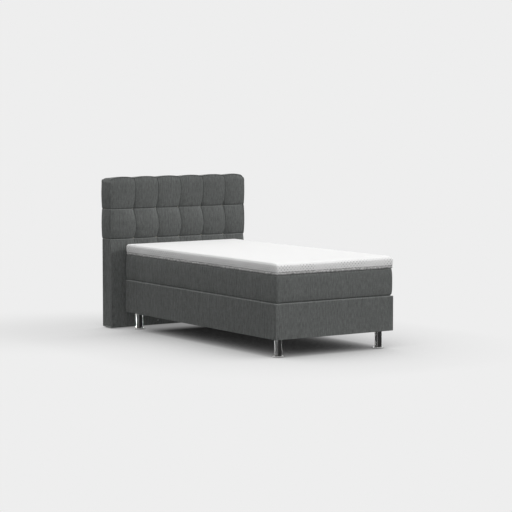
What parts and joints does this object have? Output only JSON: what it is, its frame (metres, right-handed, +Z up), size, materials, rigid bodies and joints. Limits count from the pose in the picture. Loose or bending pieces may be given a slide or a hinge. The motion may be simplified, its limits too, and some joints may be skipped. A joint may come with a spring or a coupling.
{
  "type": "box spring bed",
  "caption": "Single box spring bed: upholstered base on round metal legs, mattress, white topper and a tufted headboard that reaches the floor.",
  "frame": {"origin": "on the floor, under the middle of the whole bed's outline", "axes": "+Z up, +Y towards the headboard, +X across the bed to the right of someone looking from the foot end to the head end"},
  "size_m": [1.1976, 2.171, 1.1348],
  "materials": {
    "cover_fabric": "matt woven upholstery cloth, dark grey with a fine slub",
    "underside_cloth": "thin black bonded cloth",
    "topper_knit": "soft white knitted cover",
    "foam": "open-cell foam, cream",
    "felt": "pressed grey felt",
    "pocket_cloth": "bonded pocket cloth over springs",
    "timber": "planed spruce, bare",
    "board": "chipboard, bare",
    "leg_chrome": "satin chrome plated steel tube",
    "fixing_steel": "zinc plated steel",
    "black_plastic": "moulded black plastic"
  },
  "bodies": {
    "root": {"base_centre_beam": "timber", "base_corner_block_foot_left": "timber", "base_corner_block_foot_right": "timber", "base_corner_block_head_left": "timber", "base_corner_block_head_right": "timber", "base_cover": "cover_fabric", "base_dust_cover": "underside_cloth", "base_felt_pad": "felt", "base_foam": "foam", "base_foot_rail": "timber", "base_head_rail": "timber", "base_side_rail_left": "timber", "base_side_rail_right": "timber", "base_slat_1": "timber", "base_slat_2": "timber", "base_slat_3": "timber", "base_slat_4": "timber", "base_spring_unit": "pocket_cloth", "headboard_back_cloth": "underside_cloth", "headboard_bolt_left": "fixing_steel", "headboard_bolt_rail": "timber", "headboard_bolt_right": "fixing_steel", "headboard_bottom_rail": "timber", "headboard_cover": "cover_fabric", "headboard_face_board": "board", "headboard_foam": "foam", "headboard_glide_left": "black_plastic", "headboard_glide_right": "black_plastic", "headboard_seam_rail": "timber", "headboard_spacer_left": "black_plastic", "headboard_spacer_right": "black_plastic", "headboard_stile_left": "timber", "headboard_stile_right": "timber", "headboard_top_rail": "timber", "leg_foot_foot_left": "leg_chrome", "leg_foot_foot_right": "leg_chrome", "leg_foot_head_left": "leg_chrome", "leg_foot_head_right": "leg_chrome", "leg_glide_foot_left": "black_plastic", "leg_glide_foot_right": "black_plastic", "leg_glide_head_left": "black_plastic", "leg_glide_head_right": "black_plastic", "leg_top_plug_foot_left": "fixing_steel", "leg_top_plug_foot_right": "fixing_steel", "leg_top_plug_head_left": "fixing_steel", "leg_top_plug_head_right": "fixing_steel", "leg_tube_foot_left": "leg_chrome", "leg_tube_foot_right": "leg_chrome", "leg_tube_head_left": "leg_chrome", "leg_tube_head_right": "leg_chrome"},
    "mattress": {"mattress_cover": "cover_fabric", "mattress_edge_foam": "foam", "mattress_lower_foam": "foam", "mattress_spring_core": "pocket_cloth", "mattress_underside": "underside_cloth", "mattress_upper_foam": "foam"},
    "topper": {"topper_core": "foam", "topper_cover": "topper_knit", "topper_underside": "topper_knit"}
  },
  "joints": [
    {"name": "mattress_lift", "type": "slide", "parent": "root", "child": "mattress", "axis": [0, 0, 1], "range_m": [0, 0.3]},
    {"name": "topper_lift", "type": "slide", "parent": "mattress", "child": "topper", "axis": [0, 0, 1], "range_m": [0, 0.3]}
  ]
}
